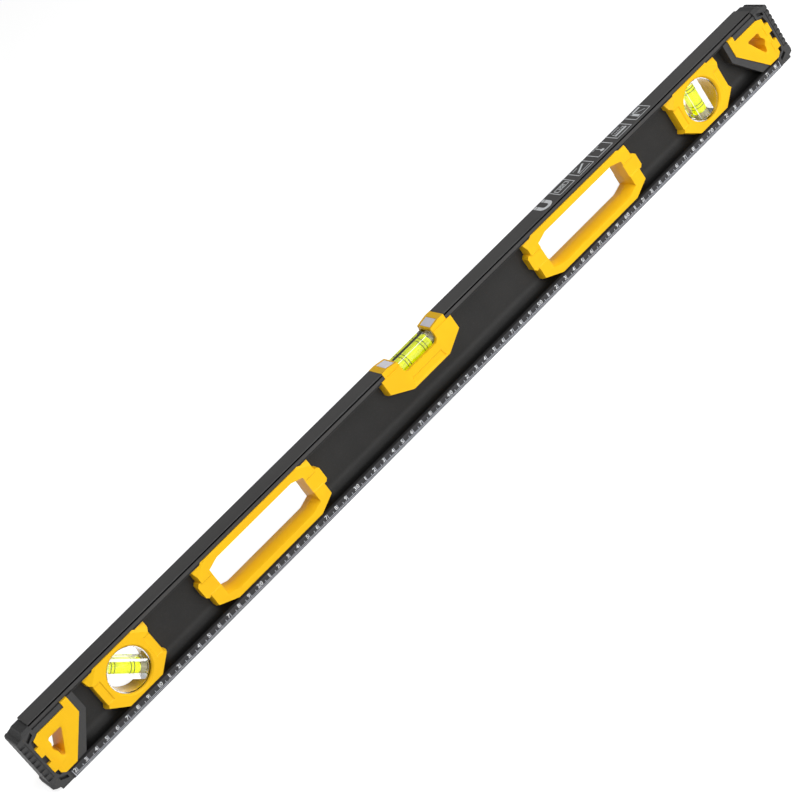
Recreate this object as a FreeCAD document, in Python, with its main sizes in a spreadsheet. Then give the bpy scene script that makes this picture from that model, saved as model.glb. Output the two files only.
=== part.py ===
"""Magnetic spirit level, 800 mm, with an I-section aluminium body.

Frame: X runs along the level, Y through its thickness with the ruler face
toward -Y, and Z up. The origin is at the middle of the working face, so the
level stands on Z = 0. Lengths are in millimetres.
"""

import FreeCAD, Part
import os
import re

import Sketcher

doc = FreeCAD.newDocument("SpiritLevel")

# Driving sizes: name, value, meaning
SIZES = [
    ("profile_length", 770, "length of the aluminium profile"),
    ("profile_height", 53.8, "height from working face to top face"),
    ("base_half", 12.3, "half width of the bottom flange"),
    ("base_bevel", 0.5, "bevel along the working face"),
    ("ruler_height", 6.6, "height of the ruler face"),
    ("ledge_half", 11, "half width where the lower cove ends"),
    ("ledge_height", 7.9, "height where the lower cove ends"),
    ("web_half", 1.8, "half thickness of the web"),
    ("top_half", 9.4, "half width of the top flange"),
    ("flange_thickness", 3.6, "thickness of the top flange"),
    ("top_cove", 3, "radius between top flange and web"),
    ("edge_lip", 0.7, "height of the lip at the top edge"),
    ("groove_width", 1.4, "height of the groove under that lip"),
    ("groove_depth", 1.6, "depth of the groove"),
    ("fascia", 2.6, "height of the side face of the top flange"),
    ("notch", 0.5, "height of the line under the side face"),
    ("bead", 0.9, "height of the bead at the bottom of the skirt"),
    ("bead_step", 0.3, "how far the bead stands back"),
    ("skirt", 1.9, "thickness of the hanging skirt"),
    ("fit_gap", 0.15, "clearance round every part let into the profile"),
    ("wall", 1.6, "wall of the collars that pass through the web"),
    ("parting", 0.15, "gap between the two halves of a moulded pair"),
    ("face_half", 10.6, "half thickness over grips and vial housings"),
    ("base_level", 6.6, "half thickness at the shoulders of those parts"),
    ("side_taper", 1.1, "how far their sides come in from shoulder to face"),
    ("hole_draft", 3, "draft of moulded openings, degrees"),
    # Grips
    ("grip_place", 211, "distance of each grip from its end of the profile"),
    ("grip_half", 58.4, "half length of a grip"),
    ("grip_crest", 45.3, "half length of the top edge of that face"),
    ("grip_foot", 45.2, "half length of its bottom edge"),
    ("grip_low", 14.2, "height where its lower corners start"),
    ("grip_shoulder", 42.2, "height where the upper corners of the face start"),
    ("corner_cut", 0.5, "small corner cut where a shoulder meets the skirt"),
    ("grip_block", 61.4, "half length over the end blocks"),
    ("block_half", 9.8, "half thickness over the end blocks"),
    ("block_low", 24, "bottom of the end blocks"),
    ("block_high", 37.6, "top of the end blocks"),
    ("block_corner", 1.8, "corner cut of the end blocks"),
    ("panel_depth", 0.8, "depth of the panel beside the finger opening"),
    ("finger_half", 46.5, "half length of the finger opening"),
    ("finger_low", 15, "bottom of the finger opening"),
    ("finger_high", 42.7, "top of the finger opening"),
    ("finger_corner", 9, "length of its corner cuts"),
    ("finger_rise", 3, "height of its corner cuts"),
    ("rim_face", 1.3, "bevel of the rim on the face"),
    ("rim_wall", 3, "bevel of the rim along the wall"),
    # Vial housings near the ends
    ("vial_place", 76.3, "distance of each end vial from its end of the profile"),
    ("vial_height", 28.4, "height of the end vials"),
    ("window", 17.1, "radius of the round window"),
    ("window_bevel", 1.2, "bevel on the rim of the window"),
    ("face_crest", 16.5, "half length of the top edge of the face"),
    ("face_shoulder", 40.4, "height where the upper corners of the face start"),
    ("house_half", 29.3, "half length over the shoulders"),
    ("house_waist", 27.6, "half length at the waist"),
    ("house_foot", 17.2, "half length of the bottom edge"),
    ("house_low", 18.2, "height where the lower corners start"),
    ("house_shoulder", 41.4, "height where the waist ends in the shoulder"),
    ("house_corner", 2.8, "corner cut where a shoulder meets the skirt"),
    ("waist_low", 20.6, "bottom of the waist"),
    ("waist_high", 39.4, "top of the waist"),
    ("dish", 20.4, "place of the shallow dish in each side"),
    ("dish_depth", 0.8, "depth of the dish"),
    # Centre housing
    ("notch_half", 32.8, "half length of the slot in the top flange"),
    ("centre_half", 37.8, "half length of the centre housing"),
    ("centre_face", 10.2, "half thickness of the centre housing"),
    ("centre_foot", 21.4, "half length of its bottom edge"),
    ("centre_low", 26.8, "bottom of the centre housing"),
    ("centre_corner", 36, "height where its lower corners start"),
    ("collar_low", 30, "bottom of its collar through the web"),
    ("view_half", 17.8, "half length of the viewing slot"),
    ("view_low", 41, "bottom of the viewing slot"),
    ("view_corner", 2.6, "corner cut of the viewing slot"),
    ("slope_start", 27.4, "where the sight slopes start"),
    ("slope_rise", 52.1, "height of the sight slopes at their inner end"),
    ("sight_outer", 26.8, "outer end of the white sight plates"),
    ("sight_inner", 19.2, "inner end of the white sight plates"),
    ("sight_half", 6.8, "half width of the white sight plates"),
    ("sight_thick", 1, "thickness of the white sight plates"),
    ("panel_half", 17, "half length of the panel under the slot"),
    ("panel_foot", 15.4, "half length of that panel along its top"),
    ("panel_high", 34.6, "top of that panel"),
    ("panel_low", 27.8, "bottom of that panel"),
    # Vials
    ("vial_depth", 6.9, "half thickness of a vial block"),
    ("vial_width", 7.2, "half width of a vial block"),
    ("centre_vial_half", 19.4, "half length of the centre vial block"),
    ("centre_vial_height", 42.4, "height of the centre vial"),
    ("bore", 4.2, "radius of the bore for the fluid"),
    ("end_wall", 1.6, "clear wall at the closed end"),
    ("plug_length", 4.4, "length of the end plug"),
    ("bubble_radius", 4.6, "radius of the hollow that the bubble leaves"),
    ("bubble_depth", 2.2, "depth of that hollow"),
    ("bubble_place", 9.5, "how far the bubble of the centre vial has run"),
    ("lens_wall", 0.9, "wall of the clear ring round an end vial"),
    ("lens_half", 7.9, "half length of that ring"),
    # End caps and hang-hole inserts
    ("cap_length", 15, "how far an end cap stands out"),
    ("cap_half", 11.8, "half thickness of the cap"),
    ("cap_top", 1.4, "how far the cap stays under the top face"),
    ("cap_foot", 0.5, "how far the cap stays off the working face"),
    ("cap_bevel", 1, "bevel of the cap's upright corners"),
    ("cap_shoulder", 2.6, "bevel along both sides of the cap's top"),
    ("crown_run", 8.2, "where the flat top of the cap ends, from its end face"),
    ("crown_step", 7, "foot of the first step of the crown, from the end face"),
    ("crown_dip", 1.3, "height of that step"),
    ("brow_run", 3.6, "foot of the ridge across the crown, from the end face"),
    ("brow_dip", 2.9, "how far that foot lies under the flat top"),
    ("ridge_run", 2.6, "where the ridge starts, from the end face"),
    ("ridge_dip", 2.3, "how far the ridge lies under the flat top"),
    ("ridge_end", 0.8, "where the ridge ends, from the end face"),
    ("ridge_fall", 3.2, "how far its end lies under the flat top"),
    ("crown_drop", 4.6, "how far the end face starts under the flat top"),
    ("bumper", 1.2, "how far the lower bumper stands out from the end face"),
    ("bumper_low", 4.6, "bottom of the bumper"),
    ("bumper_high", 9.4, "top of the bumper"),
    ("toe_run", 4.2, "where the foot of the cap starts, from the end face"),
    ("toe_rise", 2.3, "height of the step behind the foot"),
    ("rib_pitch", 4.5, "pitch of the ribs on the cap's corners"),
    ("rib_gap", 2.1, "width of the grooves between ribs"),
    ("rib_run", 4.6, "length of those grooves along the faces"),
    ("rib_depth", 2, "depth of those grooves at the corner"),
    ("rib_low", 12, "height of the lowest groove"),
    ("rib_high", 46, "height where the grooves end"),
    ("seam", 0.6, "width and depth of the line beside the ribs"),
    ("slot_depth", 3, "depth of the slots in the cap corners"),
    ("slot_near", 2.3, "where those slots start, from the profile's end"),
    ("slot_length", 6, "length of those slots"),
    ("slot_width", 2.7, "width of those slots"),
    ("slot_fall", 2.9, "how far those slots slant over their length"),
    ("slot_high", 49.2, "top of the upper slot"),
    ("slot_low", 3.7, "bottom of the lower slot"),
    ("plate_reach", 37, "how far the cap plates reach along the web"),
    ("plate_half", 11, "half thickness over the cap plates"),
    ("plate_corner", 32.4, "height where the plate's slant starts"),
    ("plate_foot", 17.8, "reach of the plate at its bottom edge"),
    ("bay_low", 10, "bottom of the bay that the teeth lock into"),
    ("bay_high", 43.2, "top of that bay"),
    ("bay_slant", 1.6, "how much narrower the bay is at both ends"),
    ("insert_half", 11.7, "half thickness of the hang-hole insert"),
    ("insert_reach", 31.7, "reach of the insert along the web"),
    ("insert_back", 4.5, "how far the insert goes into the cap"),
    ("insert_corner", 34.2, "height where the insert's slant starts"),
    ("insert_foot", 8.8, "reach of the insert at its bottom edge"),
    ("insert_high", 44.7, "top of the insert"),
    ("insert_cut", 2.8, "corner cuts of the insert"),
    ("insert_slope", 5.2, "length of the slope at its top inside the cap"),
    ("insert_fall", 2.2, "height of that slope"),
    ("tab_length", 5.8, "length of the tab at its top"),
    ("tooth_reach", 7.7, "how far the teeth go into the cap"),
    ("tooth_root", 1.5, "where the tooth pads end"),
    ("tooth_height", 7.9, "height of a tooth"),
    ("tooth_low", 14.2, "bottom of the lower tooth"),
    ("tooth_pitch", 14.8, "pitch of the teeth"),
    ("tooth_depth", 3, "thickness of the teeth"),
    ("tooth_proud", 0.3, "how far the teeth stand out"),
    ("hang_near", 3.7, "near edge of the hang hole from the profile end"),
    ("hang_far", 16.4, "far corner of the hang hole"),
    ("hang_tip", 5.8, "far edge of the hang hole at its bottom"),
    ("hang_high", 35.7, "top of the hang hole"),
    ("hang_low", 17.3, "bottom of the hang hole"),
    ("hang_heel", 2.3, "corner cut at its bottom"),
    ("hang_corner", 1.2, "corner cuts of the hang hole"),
    ("hang_face", 2.6, "bevel of its rim on the face"),
    ("hang_wall", 1, "bevel of its rim along the wall"),
    ("nail_depth", 1.9, "depth of the nail notch in its near edge"),
    ("nail_high", 31.1, "top of the nail notch"),
    ("nail_low", 23.6, "bottom of the nail notch"),
    ("nail_slope", 3, "height of the slope that leads into the notch"),
    # Magnets
    ("magnet_radius", 6, "radius of a magnet"),
    ("magnet_height", 5, "height of a magnet"),
    ("magnet_inner", 80, "distance of the inner magnets from the middle"),
    ("magnet_outer", 123, "distance of the outer magnets from the profile's ends"),
]

sheet = doc.addObject("Spreadsheet::Sheet", "Sizes")
for row, (alias, value, meaning) in enumerate(SIZES, start=1):
    sheet.set(f"A{row}", meaning)
    sheet.set(f"B{row}", str(value))
    sheet.setAlias(f"B{row}", alias)
doc.recompute()
NAMES = {alias for alias, _, _ in SIZES}

# Heights and places that follow from the driving sizes
END = "profile_length / 2"
TOP = "profile_height"
HOOK = "(profile_height - edge_lip - groove_width - fascia)"
SKIRT_END = f"({HOOK} - notch - bead)"
COVE = "(ledge_half - web_half)"
COVE_TOP = f"(ledge_height + {COVE})"
SEAT = "(web_half + fit_gap)"
FOOT = "(ledge_height + fit_gap)"
FAR = "profile_height * 2"

NEAR = 0.001
FRONT, END_VIEW, PLAN = "XZ_Plane", "YZ_Plane", "XY_Plane"


def bound(text):
    """An expression with each size name pointing at its cell in the sheet."""
    return re.sub(r"[a-z_]+", lambda word: f"Sizes.{word[0]}" if word[0] in NAMES else word[0], str(text))


def number(text):
    return float(sheet.evalExpression(bound(text)))


def minus(text):
    return f"-({text})"


def from_end(distance, end):
    """A place measured along the level from the left or right end of the profile."""
    return f"({distance} - {END})" if end == "left" else f"({END} - {distance})"


def both_sides(points):
    """A half outline, bottom to top on the right, closed by its mirror."""
    return points + flipped(points)


def flipped(points):
    return [(minus(x), z) for x, z in reversed(points)]


# Sketches

def draw_circle(sketch, across, up, radius):
    centre = FreeCAD.Vector(number(across), number(up), 0)
    ring = sketch.addGeometry(Part.Circle(centre, FreeCAD.Vector(0, 0, 1), number(radius)), False)
    kinds = [("DistanceX", across), ("DistanceY", up)]
    for kind, text in kinds:
        made = sketch.addConstraint(Sketcher.Constraint(kind, -1, 1, ring, 3, number(text)))
        sketch.setExpression(f"Constraints[{made}]", bound(text))
    made = sketch.addConstraint(Sketcher.Constraint("Radius", ring, number(radius)))
    sketch.setExpression(f"Constraints[{made}]", bound(radius))


def draw_outline(sketch, corners):
    """A closed outline. A corner is (across, up), or (across, up, centre_across)
    where a quarter arc that turns clockwise leads from it to the next corner."""
    places = [FreeCAD.Vector(number(corner[0]), number(corner[1]), 0) for corner in corners]
    first = sketch.GeometryCount
    count = len(corners)
    starts, ends = [], []
    for index, corner in enumerate(corners):
        here, there = places[index], places[(index + 1) % count]
        if len(corner) == 2:
            sketch.addGeometry(Part.LineSegment(here, there), False)
            starts.append(1)
            ends.append(2)
        else:
            sketch.addGeometry(quarter_arc(here, there, number(corner[2])), False)
            starts.append(2)
            ends.append(1)
    rules = []
    for index in range(count):
        after = (index + 1) % count
        tie = Sketcher.Constraint("Coincident", first + index, ends[index], first + after, starts[after])
        rules.append(tie)
    texts = {}
    for index, corner in enumerate(corners):
        place = places[index]
        for kind, text, value in (("DistanceX", corner[0], place.x), ("DistanceY", corner[1], place.y)):
            texts[len(rules)] = text
            rules.append(Sketcher.Constraint(kind, -1, 1, first + index, starts[index], value))
        if len(corner) > 2:
            texts[len(rules)] = corner[2]
            rules.append(Sketcher.Constraint("DistanceX", -1, 1, first + index, 3, number(corner[2])))
    offset = sketch.ConstraintCount
    sketch.addConstraint(rules)
    for index, text in texts.items():
        sketch.setExpression(f"Constraints[{offset + index}]", bound(text))


def quarter_arc(here, there, centre_across):
    """The arc from here clockwise to there, whose centre is level with one end."""
    level = here.y if abs(centre_across - here.x) > abs(centre_across - there.x) else there.y
    centre = FreeCAD.Vector(centre_across, level, 0)
    circle = Part.Circle(centre, FreeCAD.Vector(0, 0, 1), (here - centre).Length)
    return Part.ArcOfCircle(circle, circle.parameter(there), circle.parameter(here))


def new_sketch(body, plane, outlines, offset="0"):
    sketch = body.newObject("Sketcher::SketchObject", "Sketch")
    origin_plane = next(item for item in body.Origin.OriginFeatures if item.Role == plane)
    sketch.AttachmentSupport = (origin_plane, [""])
    sketch.MapMode = "FlatFace"
    sketch.setExpression("AttachmentOffset.Base.z", bound(offset))
    for outline in outlines:
        if outline[0] == "circle":
            draw_circle(sketch, *outline[1:])
        else:
            draw_outline(sketch, outline)
    return sketch


# Features

def new_body(label):
    body = doc.addObject("PartDesign::Body", label)
    body.Label = label
    return body


def place_body(body, x="0", z="0", turned=False):
    if turned:
        body.Placement = FreeCAD.Placement(FreeCAD.Vector(), FreeCAD.Rotation(FreeCAD.Vector(0, 0, 1), 180))
    body.setExpression("Placement.Base.x", bound(x))
    body.setExpression("Placement.Base.z", bound(z))


def pad(body, sketch, length, middle=False, away=False):
    feature = body.newObject("PartDesign::Pad", "Pad")
    feature.Profile = sketch
    feature.setExpression("Length", bound(length))
    feature.SideType = "Symmetric" if middle else "One side"
    feature.Reversed = away
    return feature


def pocket(body, sketch, length=None, away=False, draft=None):
    """A pocket of a length, or with no length one right through both ways."""
    feature = body.newObject("PartDesign::Pocket", "Pocket")
    feature.Profile = sketch
    if length:
        feature.setExpression("Length", bound(length))
        feature.Reversed = away
    else:
        feature.SideType = "Symmetric"
        feature.Type = "ThroughAll"
    if draft:
        feature.setExpression("TaperAngle", bound(draft))
    return feature


def edge_names(feature, places):
    """The names of the feature's edges whose middles lie nearest to the places."""
    doc.recompute()
    edges = feature.Shape.Edges
    middles = [edge.valueAt((edge.FirstParameter + edge.LastParameter) / 2) for edge in edges]
    names = []
    for place in places:
        target = FreeCAD.Vector(*[number(text) for text in place])
        nearest = min(range(len(middles)), key=lambda index: (middles[index] - target).Length)
        names.append(f"Edge{nearest + 1}")
    return names


def bevel(body, feature, names, size, other=None):
    cut = body.newObject("PartDesign::Chamfer", "Chamfer")
    cut.Base = (feature, names)
    cut.setExpression("Size", bound(size))
    if other:
        cut.ChamferType = "Two distances"
        cut.setExpression("Size2", bound(other))
    return cut


def rounded(body, feature, names, radius):
    cut = body.newObject("PartDesign::Fillet", "Fillet")
    cut.Base = (feature, names)
    cut.setExpression("Radius", bound(radius))
    return cut


# Outlines that several parts share

def mirrored_section(points):
    """The other half of a section. An arc keeps its place between its corners."""
    mirrored = []
    for index in range(len(points) - 1, -1, -1):
        across, up = points[index][:2]
        before = points[index - 1] if index else ()
        centre = (minus(before[2]),) if len(before) > 2 else ()
        mirrored.append((minus(across), up) + centre)
    return mirrored


def top_channel():
    """Section of the top flange with its skirts and clearance."""
    half = "top_half + fit_gap"
    low = f"{SKIRT_END} - fit_gap"
    return [(half, low), (half, FAR), (minus(half), FAR), (minus(half), low)]


def lower_channel():
    """Sections of the bottom flange with its coves and clearance, one a side."""
    right = [
        ("base_half * 2", minus(FAR)),
        ("base_half * 2", FOOT),
        ("ledge_half", FOOT, "ledge_half"),
        (SEAT, COVE_TOP),
        (SEAT, minus(FAR)),
    ]
    return [right, mirrored_section(right)]


def finger_outline(grow="0"):
    """The finger opening of a grip, grown all round for its collar."""
    half = f"(finger_half + {grow})"
    low = f"(finger_low - ({grow}))"
    high = f"(finger_high + {grow})"
    return both_sides([
        (f"{half} - finger_corner", low),
        (half, f"{low} + finger_rise"),
        (half, f"{high} - finger_rise"),
        (f"{half} - finger_corner", high),
    ])


def centre_collar(high, shrink="0"):
    """The slot for the centre housing, through web and top flange."""
    half = f"(notch_half - ({shrink}))"
    low = f"(collar_low + {shrink})"
    return both_sides([
        ("centre_foot", low),
        (half, f"{low} + centre_corner - centre_low"),
        (half, high),
    ])


def insert_outline(grow="0"):
    """The hang-hole insert at the left end, without its teeth and tab."""
    back = f"(-{END} - insert_back - ({grow}))"
    front = f"(-{END} + insert_reach + {grow})"
    high = f"(insert_high + {grow})"
    return [
        (f"{back} + insert_cut", FOOT),
        (f"-{END} + insert_foot + {grow}", FOOT),
        (front, "insert_corner"),
        (front, high),
        (f"{back} + insert_slope", high),
        (back, f"{high} - insert_fall"),
        (back, f"{FOOT} + insert_cut"),
    ]


def tab_outline(grow="0"):
    """The tab of the insert that hooks over the skirt."""
    front = f"(-{END} + insert_reach + {grow})"
    back = f"({front} - tab_length - 2 * ({grow}))"
    low = "insert_high - insert_cut"
    return [(front, low), (front, HOOK), (back, HOOK), (back, low)]


def tooth_outlines(grow="0"):
    """The two teeth of the insert, which lock it into the cap."""
    back = f"-{END} - tooth_reach - ({grow})"
    front = f"-{END} - tooth_root"
    outlines = []
    for low in ("tooth_low", "(tooth_low + tooth_pitch)"):
        bottom, top = f"{low} - ({grow})", f"{low} + tooth_height + {grow}"
        outlines.append([(back, bottom), (front, bottom), (front, top), (back, top)])
    return outlines


# The aluminium profile

MAGNETS = [
    from_end("magnet_outer", "left"),
    "-magnet_inner",
    "magnet_inner",
    from_end("magnet_outer", "right"),
]


def make_profile():
    """The extruded I-section with its milled openings."""
    body = new_body("profile")
    lip_low = f"({TOP} - edge_lip)"
    groove_low = f"({lip_low} - groove_width)"
    skirt_inner = "top_half - skirt"
    under = f"{TOP} - flange_thickness"
    half_section = [
        ("base_half - base_bevel", "0"),
        ("base_half", "base_bevel"),
        ("base_half", "ruler_height"),
        ("ledge_half + base_bevel", "ledge_height - base_bevel"),
        ("ledge_half", "ledge_height", "ledge_half"),
        ("web_half", COVE_TOP),
        ("web_half", under),
        (skirt_inner, under),
        (skirt_inner, SKIRT_END),
        ("top_half - bead_step", SKIRT_END),
        ("top_half - bead_step", f"{SKIRT_END} + bead"),
        ("top_half - notch", f"{SKIRT_END} + bead"),
        ("top_half - notch", HOOK),
        ("top_half", HOOK),
        ("top_half", groove_low),
        ("top_half - groove_depth", f"{groove_low} + groove_depth / 3"),
        ("top_half - groove_depth", f"{lip_low} - groove_depth / 3"),
        ("top_half", lip_low),
        ("top_half", f"{TOP} - edge_lip / 2"),
        ("top_half - edge_lip / 2", TOP),
    ]
    section = half_section + mirrored_section(half_section)
    bar = pad(body, new_sketch(body, END_VIEW, [section]), "profile_length", middle=True)
    corners = edge_names(bar, [("0", "web_half", under), ("0", "-web_half", under)])
    rounded(body, bar, corners, "top_cove")

    openings = [centre_collar(FAR)]
    for end in ("left", "right"):
        openings.append(("circle", from_end("vial_place", end), "vial_height", "window + wall + fit_gap"))
        outline = finger_outline("wall + fit_gap")
        openings.append([(f"{from_end('grip_place', end)} + {across}", up) for across, up in outline])
    for opening in openings:
        pocket(body, new_sketch(body, FRONT, [opening]))

    notch = [
        (f"-{END} - wall", FOOT),
        (f"-{END} + insert_foot + wall", FOOT),
        (f"-{END} + insert_reach + fit_gap", "insert_corner"),
        (f"-{END} + insert_reach + fit_gap", SKIRT_END),
        (f"-{END} - wall", SKIRT_END),
    ]
    for outline in (notch, flipped(notch)):
        cut = pocket(body, new_sketch(body, FRONT, [outline]), f"{SEAT} * 2")
        cut.SideType = "Symmetric"

    seats = [("circle", place, "0", "magnet_radius") for place in MAGNETS]
    pocket(body, new_sketch(body, PLAN, seats), "magnet_height", away=True)


# Moulded pairs that sit in the channel. Each half is drawn as the front one.

def half_shell(body, outline, face_level):
    """A shell from the web out to its front face. From the shoulders on, all its
    edges that aren't level come in by the side taper."""
    shell = pad(body, new_sketch(body, FRONT, [outline], SEAT), f"{face_level} - {SEAT}")
    doc.recompute()
    depth = number(minus(face_level))
    sides = [f"Edge{index}" for index, edge in enumerate(shell.Shape.Edges, start=1)
             if flat_at(edge, depth) and edge.BoundBox.ZLength > NEAR]
    bevel(body, shell, sides, f"{face_level} - base_level", "side_taper")


def upper_corners(body, start, crest, lean):
    """Cuts both upper corners of a face along one slanted plane each. At the top
    edge it runs from a place on the shoulder to one on the face."""
    past = "(face_half + wall)"
    wedge = [
        (start, "-base_level"),
        (crest, "-face_half"),
        (crest, minus(past)),
        (f"{start} * 2", minus(past)),
        (f"{start} * 2", "-base_level"),
    ]
    for sign, outline in (("", wedge), ("-", flipped(wedge))):
        cut = pocket(body, new_sketch(body, PLAN, [outline], HOOK), f"{HOOK}")
        cut.UseCustomVector = True
        cut.AlongSketchNormal = True
        cut.Direction = FreeCAD.Vector(number(f"{sign}1"), 0, number(minus(lean)))


def fit_channel(body):
    pocket(body, new_sketch(body, END_VIEW, [top_channel()]))
    pocket(body, new_sketch(body, END_VIEW, lower_channel()))


def collar(body, outline, depth):
    """The collar that goes through the web, from the parting to a depth."""
    pad(body, new_sketch(body, FRONT, [outline], "parting / 2"), f"{depth} - parting / 2")


def make_grip(label, place, turned):
    body = new_body(label)
    lean = f"({HOOK} - grip_shoulder) / (grip_half - side_taper - grip_crest)"
    outline = both_sides([
        ("grip_foot", FOOT),
        ("grip_half", "grip_low"),
        ("grip_half", f"{HOOK} - corner_cut * {lean}"),
        ("grip_half - corner_cut", HOOK),
    ])
    half_shell(body, outline, "face_half")
    upper_corners(body, "(grip_half - corner_cut)", "grip_crest", lean)
    block = both_sides([
        ("grip_block - block_corner", "block_low"),
        ("grip_block", "block_low + block_corner"),
        ("grip_block", "block_high - block_corner"),
        ("grip_block - block_corner", "block_high"),
    ])
    pad(body, new_sketch(body, FRONT, [block], SEAT), f"block_half - {SEAT}")
    fit_channel(body)
    collar(body, finger_outline("wall"), "base_level")
    opening = new_sketch(body, FRONT, [finger_outline()])
    hole = pocket(body, opening, "face_half * 2", away=True, draft="hole_draft")
    rim = rim_edges(hole, "-face_half", "finger_low + finger_rise / 2")
    bevel(body, hole, rim, "rim_face", "rim_wall")
    panel = [
        ("finger_half - rim_wall", "block_low + panel_depth"),
        ("grip_block + panel_depth", "block_low + panel_depth"),
        ("grip_block + panel_depth", "block_high - panel_depth"),
        ("finger_half - rim_wall", "block_high - panel_depth"),
    ]
    panels = new_sketch(body, FRONT, [panel, flipped(panel)], "face_half")
    pocket(body, panels, "panel_depth", draft="-45")
    place_body(body, place, turned=turned)


def make_vial_housing(label, place, turned):
    body = new_body(label)
    lean = f"({HOOK} - face_shoulder) / (house_waist - side_taper - face_crest)"
    outline = both_sides([
        ("house_foot", FOOT),
        ("house_half", "house_low"),
        ("house_waist", "waist_low"),
        ("house_waist", "waist_high"),
        ("house_half", "house_shoulder"),
        ("house_half", f"{HOOK} - house_corner * {lean}"),
        ("house_half - house_corner", HOOK),
    ])
    half_shell(body, outline, "face_half")
    upper_corners(body, "(house_half - house_corner)", "face_crest", lean)
    fit_channel(body)
    ring = ("circle", "0", "vial_height", "window + wall")
    collar(body, ring, "base_level")
    window = new_sketch(body, FRONT, [("circle", "0", "vial_height", "window")])
    hole = pocket(body, window, "face_half * 2", away=True)
    bevel(body, hole, rim_edges(hole, "-face_half"), "window_bevel")
    dish = [
        ("dish", "waist_low"),
        ("house_half + wall", "waist_low"),
        ("house_half + wall", "waist_high - corner_cut"),
        ("dish", "waist_high - corner_cut"),
    ]
    dishes = new_sketch(body, FRONT, [dish, flipped(dish)], "face_half")
    pocket(body, dishes, "dish_depth", draft="-45")
    place_body(body, place, turned=turned)


def rim_edges(feature, level, highest=FAR):
    """Names of the edges round the opening in the face at Y = level, up to a height."""
    doc.recompute()
    depth, limit = number(level), number(highest)
    faces = [face for face in feature.Shape.Faces if flat_at(face, depth)]
    face = max(faces, key=lambda face: face.Area)
    rims = [edge for wire in face.Wires if not wire.isSame(face.OuterWire) for edge in wire.Edges]
    rims = [edge for edge in rims if edge.BoundBox.ZMin < limit]
    return [f"Edge{index}" for index, edge in enumerate(feature.Shape.Edges, start=1)
            if any(edge.isSame(other) for other in rims)]


def flat_at(shape, depth):
    return max(abs(shape.BoundBox.YMin - depth), abs(shape.BoundBox.YMax - depth)) < NEAR


# The centre housing with its sight plates

def make_centre_housing(label, turned):
    body = new_body(label)
    outline = both_sides([
        ("centre_foot", "centre_low"),
        ("centre_half", "centre_corner"),
        ("centre_half", HOOK),
    ])
    half_shell(body, outline, "centre_face")
    fit_channel(body)
    collar(body, centre_collar(TOP, "fit_gap"), "top_half")
    slot = [
        ("view_half - view_corner", "view_low"),
        ("view_half", "view_low + view_corner"),
        ("view_half", FAR),
    ]
    pocket(body, new_sketch(body, FRONT, [both_sides(slot)]))
    slope = [("view_half", "slope_rise"), ("slope_start", TOP), ("slope_start", FAR), ("view_half", FAR)]
    pocket(body, new_sketch(body, FRONT, [slope, flipped(slope)]))
    seat = sight_outline("fit_gap")
    seats = new_sketch(body, FRONT, [seat, flipped(seat)])
    pocket(body, seats, "sight_half + fit_gap", away=True)
    chamber = both_sides([
        ("centre_vial_half + fit_gap", "centre_vial_height - vial_width"),
        ("centre_vial_half + fit_gap", "centre_vial_height + vial_width + fit_gap"),
    ])
    pocket(body, new_sketch(body, FRONT, [chamber]), "vial_depth + fit_gap", away=True)
    panel = both_sides([("panel_half", "panel_low"), ("panel_foot", "panel_high")])
    pocket(body, new_sketch(body, FRONT, [panel], "centre_face"), "dish_depth", draft="-45")
    place_body(body, turned=turned)


def sight_outline(grow="0"):
    """Section of the right sight plate, lying on the slope."""
    fall = f"(({TOP} - slope_rise) / (slope_start - view_half))"
    inner, outer = f"(sight_inner - ({grow}))", f"(sight_outer + {grow})"
    inner_top = f"({TOP} - (slope_start - {inner}) * {fall})"
    outer_top = f"({TOP} - (slope_start - {outer}) * {fall})"
    lift = "0" if grow == "0" else "sight_thick"
    return [
        (inner, f"{inner_top} - sight_thick"),
        (outer, f"{outer_top} - sight_thick"),
        (outer, f"{outer_top} + {lift}"),
        (inner, f"{inner_top} + {lift}"),
    ]


def make_sight_plate(label, turned):
    body = new_body(label)
    pad(body, new_sketch(body, FRONT, [sight_outline()]), "sight_half * 2", middle=True)
    place_body(body, turned=turned)


# Vials. Each is drawn along X with its bubble end at -X, then turned into place.

RING_INNER = "(window - fit_gap - lens_wall)"
END_REACH = f"sqrt(({RING_INNER} - fit_gap) ^ 2 - bore ^ 2)"


def make_vial_block(label, reach, pose, round_end):
    """Clear block with the bore for the fluid, open at the plug end."""
    body = new_body(label)
    half = "window" if round_end else reach
    outline = both_sides([(half, "-vial_width"), (half, "vial_width")])
    pad(body, new_sketch(body, FRONT, [outline]), "vial_depth * 2", middle=True)
    if round_end:
        rings = [("circle", "0", "0", f"{RING_INNER} - fit_gap"), ("circle", "0", "0", "window * 2")]
        pocket(body, new_sketch(body, FRONT, rings))
    bore = new_sketch(body, END_VIEW, [("circle", "0", "0", "bore")], f"end_wall - {reach}")
    pocket(body, bore, f"{reach} * 2", away=True)
    pose(body)


def make_vial_fluid(label, reach, bubble, pose):
    """The fluid, with the hollow that its bubble leaves at the top."""
    body = new_body(label)
    disc = new_sketch(body, END_VIEW, [("circle", "0", "0", "bore")], f"end_wall - {reach}")
    pad(body, disc, f"2 * {reach} - end_wall - plug_length")
    hollow = ("circle", bubble, "bore + bubble_radius - bubble_depth", "bubble_radius")
    pocket(body, new_sketch(body, FRONT, [hollow]))
    pose(body)


def make_vial_plug(label, reach, pose):
    body = new_body(label)
    disc = new_sketch(body, END_VIEW, [("circle", "0", "0", "bore")], f"{reach} - plug_length")
    pad(body, disc, "plug_length")
    pose(body)


def make_vial_lens(label, pose):
    """Clear ring that carries the block of an end vial."""
    body = new_body(label)
    rings = [("circle", "0", "0", "window - fit_gap"), ("circle", "0", "0", RING_INNER)]
    pad(body, new_sketch(body, FRONT, rings), "lens_half * 2", middle=True)
    pose(body)


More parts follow.
